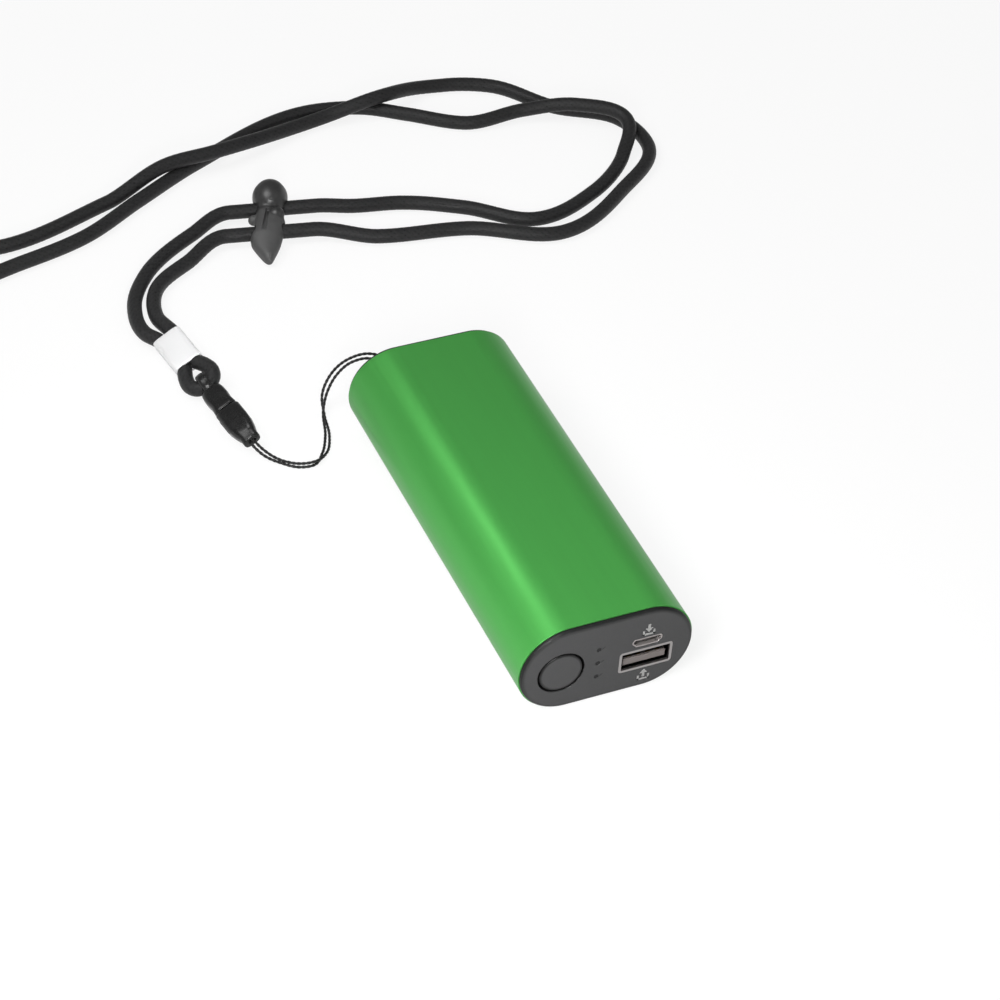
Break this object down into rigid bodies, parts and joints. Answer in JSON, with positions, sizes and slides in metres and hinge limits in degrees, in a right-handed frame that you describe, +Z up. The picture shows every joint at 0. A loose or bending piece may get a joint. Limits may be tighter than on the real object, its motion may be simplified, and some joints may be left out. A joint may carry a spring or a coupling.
{
  "type": "rechargeable hand warmer",
  "caption": "Flat round-sided electric hand warmer and power bank with an aluminium sleeve, push button, charge lights, charging and output ports, and a detachable neck lanyard",
  "frame": {"origin": "middle of the warmer's flat underside, on the surface that it lies on", "axes": "+Y runs along the warmer away from the button and ports, +Z is up through its thickness, and +X points to its right when it is seen from the port end"},
  "size_m": [0.2313, 0.2479, 0.025],
  "materials": {
    "green_anodised": "satin anodised",
    "grey_plastic": "fine matte texture",
    "dark_plastic": "fine matte texture",
    "button_plastic": "fine matte texture",
    "black_plastic": "moulded",
    "plated_steel": "tin plated",
    "circuit_board": "solder mask",
    "light_chip": "clear epoxy",
    "clear_plastic": "clear moulded",
    "pale_plastic": "moulded",
    "gold_contact": "gold plated",
    "chip_epoxy": "moulded epoxy",
    "ferrite": "sintered",
    "aluminium_can": "bare can",
    "cell_wrap": "shrink film",
    "nickel": "rolled nickel",
    "heater_film": "polyimide film",
    "thermal_pad": "soft silicone",
    "foam": "closed cell foam",
    "white_wire": "extruded",
    "red_wire": "extruded",
    "black_cord": "braided",
    "gloss_black": "polished",
    "crimp_metal": "bright nickel plate",
    "slider_plastic": "polished head, satin leaf"
  },
  "bodies": {
    "warmer": {"sleeve": "green_anodised", "front_cap": "grey_plastic", "rear_cap": "dark_plastic", "switch_case": "plated_steel", "button_board": "circuit_board", "button_board_screws": "plated_steel", "charge_lights": "light_chip", "light_pipes": "clear_plastic", "main_board": "circuit_board", "main_board_screws": "plated_steel", "usb_a_shell": "plated_steel", "usb_a_tongue": "pale_plastic", "usb_a_contacts": "gold_contact", "micro_usb_shell": "plated_steel", "micro_usb_tongue": "black_plastic", "micro_usb_contacts": "gold_contact", "boost_chip": "chip_epoxy", "control_chip": "chip_epoxy", "inductor": "ferrite", "capacitors": "aluminium_can", "heater_switches": "chip_epoxy", "cell_left": "cell_wrap", "cell_right": "cell_wrap", "nickel_strip_front": "nickel", "nickel_strip_rear": "nickel", "cell_holder_front": "black_plastic", "cell_holder_rear": "black_plastic", "heater_film_top": "heater_film", "heater_film_bottom": "heater_film", "spreader_pad_top": "thermal_pad", "spreader_pad_bottom": "thermal_pad", "foam_pad_top": "foam", "foam_pad_bottom": "foam", "thermistor": "chip_epoxy", "thermistor_wires": "white_wire", "battery_wires": "red_wire", "heater_wires": "white_wire", "strap_pin": "plated_steel", "strap_string": "black_cord", "buckle_socket": "gloss_black"},
    "button": {"power_button": "button_plastic", "switch_plunger": "black_plastic"},
    "lanyard": {"neck_cord": "black_cord", "end_loop": "black_cord", "crimp_sleeve": "crimp_metal", "buckle_plug": "gloss_black"},
    "slider": {"cord_slider": "slider_plastic"}
  },
  "joints": [
    {"name": "button_press", "type": "slide", "parent": "warmer", "child": "button", "axis": [0, 1, 0], "range_m": [0, 0.0005], "stiffness_N_per_m": 4000, "springref_m": -0.0001},
    {"name": "buckle_release", "type": "slide", "parent": "warmer", "child": "lanyard", "axis": [-0.1478, 0.989, 0], "range_m": [0, 0.012]},
    {"name": "slider_slide", "type": "slide", "parent": "lanyard", "child": "slider", "axis": [0.9815, -0.1913, 0], "range_m": [-0.006, 0.006]}
  ]
}
